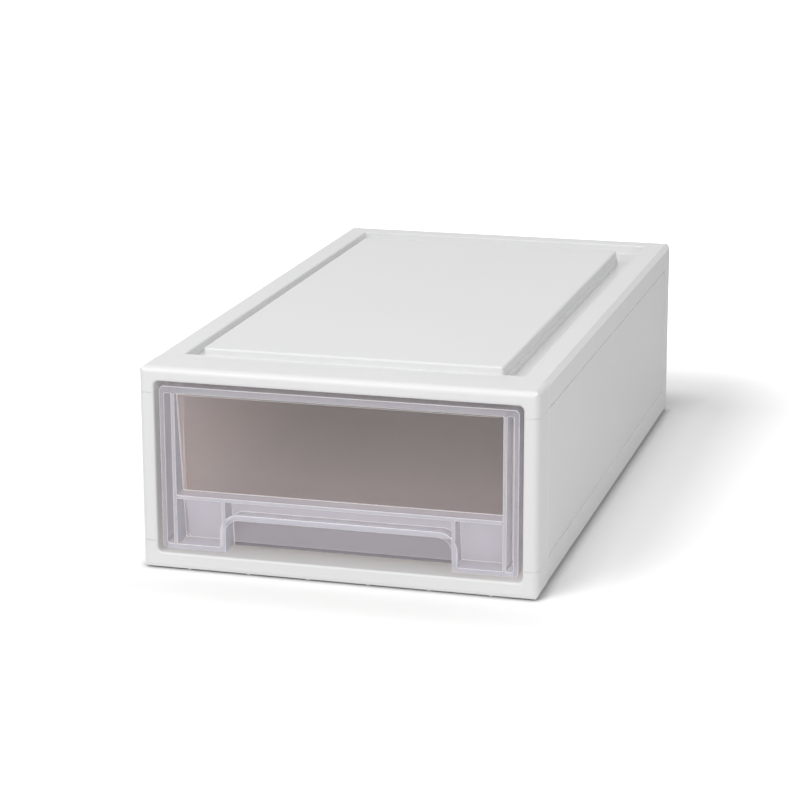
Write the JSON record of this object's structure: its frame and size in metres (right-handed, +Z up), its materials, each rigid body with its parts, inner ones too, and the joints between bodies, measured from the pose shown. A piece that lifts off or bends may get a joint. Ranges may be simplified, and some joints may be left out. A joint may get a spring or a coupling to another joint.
{
  "type": "stackable drawer box",
  "caption": "Low, deep stackable drawer box: white snap-together casing with a raised top panel and a clear sliding drawer with an arched finger pull.",
  "frame": {"origin": "on the floor under the middle of the box", "axes": "+Z up, front of the drawer towards -Y, +X to the right seen from the front"},
  "size_m": [0.26, 0.47, 0.139],
  "materials": {
    "casing": "satin white moulded polypropylene",
    "drawer": "clear, lightly frosted moulded polypropylene"
  },
  "bodies": {
    "casing": {"top_panel": "casing", "base_panel": "casing", "left_side_panel": "casing", "right_side_panel": "casing", "back_panel": "casing"},
    "drawer": {"drawer": "drawer"}
  },
  "joints": [
    {"name": "drawer_slide", "type": "slide", "parent": "casing", "child": "drawer", "axis": [0, -1, 0], "range_m": [0, 0.37]}
  ]
}
